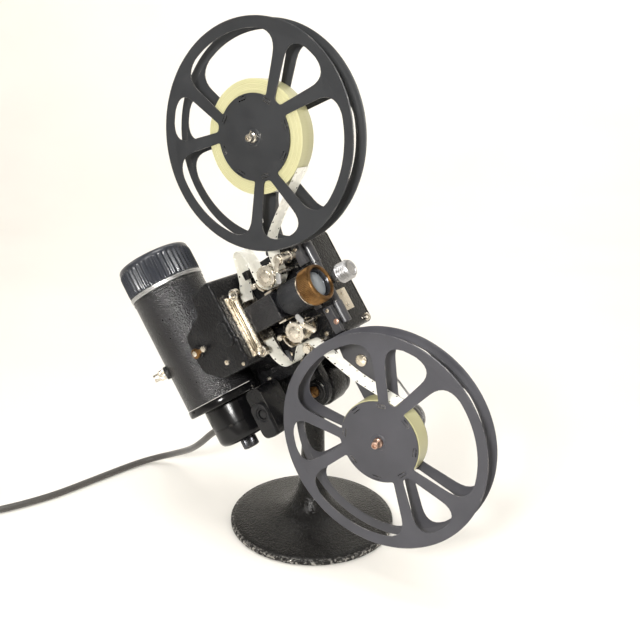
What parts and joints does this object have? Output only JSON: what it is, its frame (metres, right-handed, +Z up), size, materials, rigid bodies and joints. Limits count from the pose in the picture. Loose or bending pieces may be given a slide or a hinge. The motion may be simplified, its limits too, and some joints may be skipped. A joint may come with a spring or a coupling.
{
  "type": "film projector",
  "caption": "Vintage cine film projector: tilting head with lamp house, shutter case, lens, threaded film path and open reels, on a round pedestal base with mains cord.",
  "frame": {"origin": "centre of the flat underside of the base pad, on the surface the projector stands on", "axes": "+Z up; +X towards the screen, level; +Y away from the side where the film is threaded. The head is tilted 34 degrees about an axis along Y, lens raised"},
  "size_m": [0.6183, 0.3186, 0.4637],
  "materials": {
    "black_crackle": "wrinkle enamel, semi-matt",
    "gloss_black": "gloss enamel",
    "reel_grey": "smooth satin enamel",
    "grey_paint": "satin enamel",
    "nickel": "nickel plate, lightly worn",
    "steel": "turned and polished",
    "aluminium": "satin",
    "brass": "aged, brown in the grooves",
    "bakelite": "moulded, satin",
    "glass": "clear, polished",
    "film": "smooth film base",
    "felt": "pressed felt",
    "cord_rubber": "matt"
  },
  "bodies": {
    "pedestal": {"base_pad": "felt", "base_pedestal": "black_crackle", "tilt_bolt": "brass", "cord_lead": "cord_rubber", "cord_coil": "cord_rubber", "plug": "bakelite"},
    "head": {"tilt_bracket": "black_crackle", "main_frame": "black_crackle", "rear_cover": "gloss_black", "upper_arm": "grey_paint", "lower_arm": "grey_paint", "takeup_belt": "steel", "lamp_house": "black_crackle", "lamp_collar": "gloss_black", "lamp_socket": "brass", "lamp_bulb": "glass", "lamp_reflector": "aluminium", "motor_housing": "gloss_black", "switch_housing": "bakelite", "shutter_housing": "black_crackle", "condenser_lens": "glass", "aperture_plate": "nickel", "gate_bar": "nickel", "film_strip": "film", "cord_gland": "cord_rubber"},
    "upper_reel": {"upper_reel_front": "reel_grey", "upper_reel_back": "reel_grey", "upper_reel_core": "reel_grey", "upper_film_roll": "film", "upper_spindle": "nickel"},
    "lower_reel": {"lower_reel_front": "reel_grey", "lower_reel_back": "reel_grey", "lower_reel_core": "reel_grey", "lower_film_roll": "film", "lower_spindle": "nickel"},
    "takeup_pulley": {"takeup_pulley": "steel"},
    "lamp_cap": {"lamp_cap": "gloss_black", "lamp_ring": "aluminium"},
    "lamp_screw": {"lamp_screw": "nickel"},
    "motor": {"motor_armature": "steel", "cooling_fan": "aluminium", "motor_knob": "nickel"},
    "switch_button": {"switch_button": "bakelite"},
    "shutter": {"shutter_shaft": "steel", "shutter_disc": "steel", "inching_knob": "nickel"},
    "clutch_lever": {"clutch_lever": "brass"},
    "lens_carrier": {"lens_mount": "black_crackle", "pressure_plate": "nickel"},
    "lens": {"lens_barrel": "black_crackle", "lens_ring": "brass", "lens_glass": "glass"},
    "upper_sprocket": {"upper_sprocket": "nickel", "upper_gear": "brass"},
    "lower_sprocket": {"lower_sprocket": "nickel", "lower_gear": "brass"},
    "upper_shoe": {"upper_shoe": "nickel"},
    "lower_shoe": {"lower_shoe": "nickel"},
    "upper_roller": {"upper_roller": "nickel"},
    "lower_roller": {"lower_roller": "nickel"}
  },
  "joints": [
    {"name": "head_tilt", "type": "hinge", "parent": "pedestal", "child": "head", "pos_m": [0.013, 0, 0.146], "axis": [0, 1, 0], "range_deg": [-12, 30], "deforming": ["cord_lead"]},
    {"name": "upper_reel_spin", "type": "hinge", "parent": "head", "child": "upper_reel", "pos_m": [-0.00688, -0.076, 0.37504], "axis": [0, 1, 0], "continuous": true},
    {"name": "lower_reel_spin", "type": "hinge", "parent": "head", "child": "lower_reel", "pos_m": [0.11161, -0.076, 0.14859], "axis": [0, 1, 0], "continuous": true},
    {"name": "takeup_pulley_spin", "type": "hinge", "parent": "head", "child": "takeup_pulley", "pos_m": [0.11161, -0.03, 0.14859], "axis": [0, 1, 0], "continuous": true},
    {"name": "cap_lift", "type": "slide", "parent": "head", "child": "lamp_cap", "axis": [-0.5592, 0, 0.829], "range_m": [0, 0.04]},
    {"name": "lamp_screw_turn", "type": "hinge", "parent": "head", "child": "lamp_screw", "pos_m": [-0.07178, -0.076, 0.18049], "axis": [-0.5759, -0.7193, -0.3884], "range_deg": [0, 720]},
    {"name": "motor_spin", "type": "hinge", "parent": "head", "child": "motor", "pos_m": [-0.02928, -0.072, 0.11748], "axis": [-0.5592, 0, 0.829], "continuous": true},
    {"name": "switch_push", "type": "slide", "parent": "head", "child": "switch_button", "axis": [0, 1, 0], "range_m": [0, 0.0025], "stiffness_N_per_m": 600},
    {"name": "shutter_spin", "type": "hinge", "parent": "head", "child": "shutter", "pos_m": [-0.03129, -0.044, 0.21166], "axis": [0.829, 0, 0.5592], "continuous": true},
    {"name": "clutch_lever_turn", "type": "hinge", "parent": "head", "child": "clutch_lever", "pos_m": [-0.04995, -0.1095, 0.19642], "axis": [0, 1, 0], "range_deg": [-25, 25]},
    {"name": "gate_open", "type": "slide", "parent": "head", "child": "lens_carrier", "axis": [0.829, 0, 0.5592], "range_m": [0, 0.006]},
    {"name": "focus", "type": "slide", "parent": "lens_carrier", "child": "lens", "axis": [0.829, 0, 0.5592], "range_m": [-0.004, 0.005]},
    {"name": "upper_sprocket_spin", "type": "hinge", "parent": "head", "child": "upper_sprocket", "pos_m": [0.00295, -0.076, 0.26551], "axis": [0, 1, 0], "continuous": true},
    {"name": "lower_sprocket_spin", "type": "hinge", "parent": "head", "child": "lower_sprocket", "pos_m": [0.03147, -0.076, 0.22323], "axis": [0, 1, 0], "continuous": true},
    {"name": "upper_shoe_swing", "type": "hinge", "parent": "head", "child": "upper_shoe", "pos_m": [-0.00936, -0.076, 0.2548], "axis": [0, 1, 0], "range_deg": [0, 18]},
    {"name": "lower_shoe_swing", "type": "hinge", "parent": "head", "child": "lower_shoe", "pos_m": [0.01692, -0.076, 0.21583], "axis": [0, 1, 0], "range_deg": [0, 18]},
    {"name": "upper_roller_spin", "type": "hinge", "parent": "head", "child": "upper_roller", "pos_m": [0.01538, -0.076, 0.28089], "axis": [0, 1, 0], "continuous": true},
    {"name": "lower_roller_spin", "type": "hinge", "parent": "head", "child": "lower_roller", "pos_m": [0.04401, -0.076, 0.21179], "axis": [0, 1, 0], "continuous": true}
  ],
  "couplings": [
    {"joint": "upper_sprocket_spin", "follows": "shutter_spin", "ratio": 0.125},
    {"joint": "lower_sprocket_spin", "follows": "shutter_spin", "ratio": -0.125},
    {"joint": "takeup_pulley_spin", "follows": "shutter_spin", "ratio": 0.07377}
  ]
}
